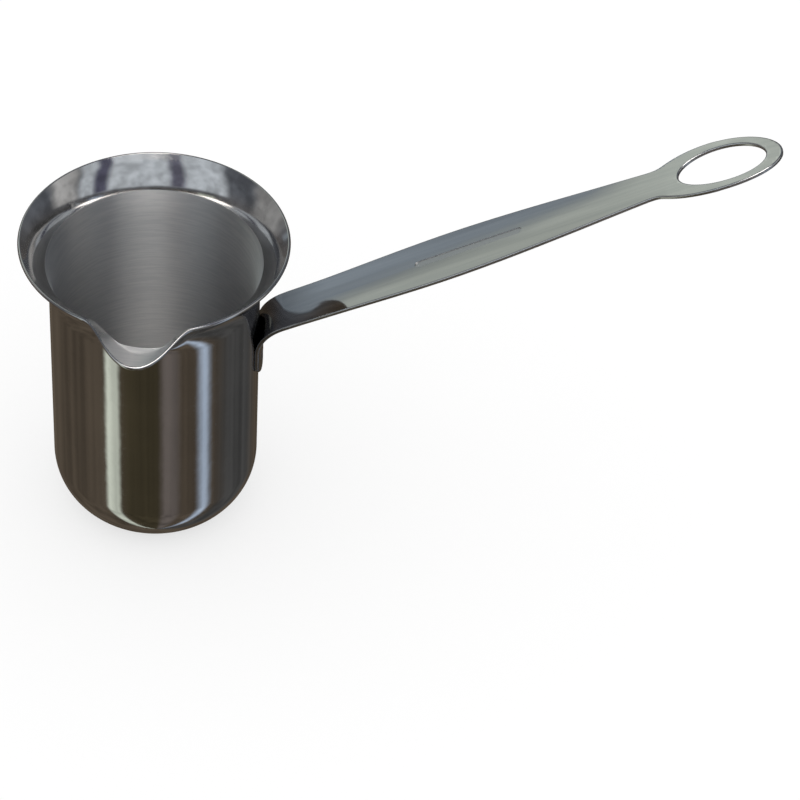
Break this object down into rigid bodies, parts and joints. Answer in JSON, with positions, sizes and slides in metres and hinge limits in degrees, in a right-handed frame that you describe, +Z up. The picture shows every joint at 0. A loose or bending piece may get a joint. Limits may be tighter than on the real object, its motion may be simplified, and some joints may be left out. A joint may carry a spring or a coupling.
{
  "type": "candle melting pot",
  "caption": "Small steel melting pot with a flared rim, a pressed pouring spout and a long strip handle that ends in a hanging eye.",
  "frame": {"origin": "centre of the base's resting face, on the pot's axis", "axes": "+Z up along the pot's axis, +X along the handle seen from above, the spout close to -Y"},
  "size_m": [0.2033, 0.0831, 0.1356],
  "materials": {
    "polished_steel": "mirror polished outside and on the flare, fine brushed inside",
    "satin_steel": "satin, brushed along the strip",
    "weld_steel": "dull pressed marks of spot welds"
  },
  "bodies": {
    "root": {"pot_body": "polished_steel", "handle": "satin_steel", "weld_nuggets": "weld_steel"}
  },
  "joints": []
}
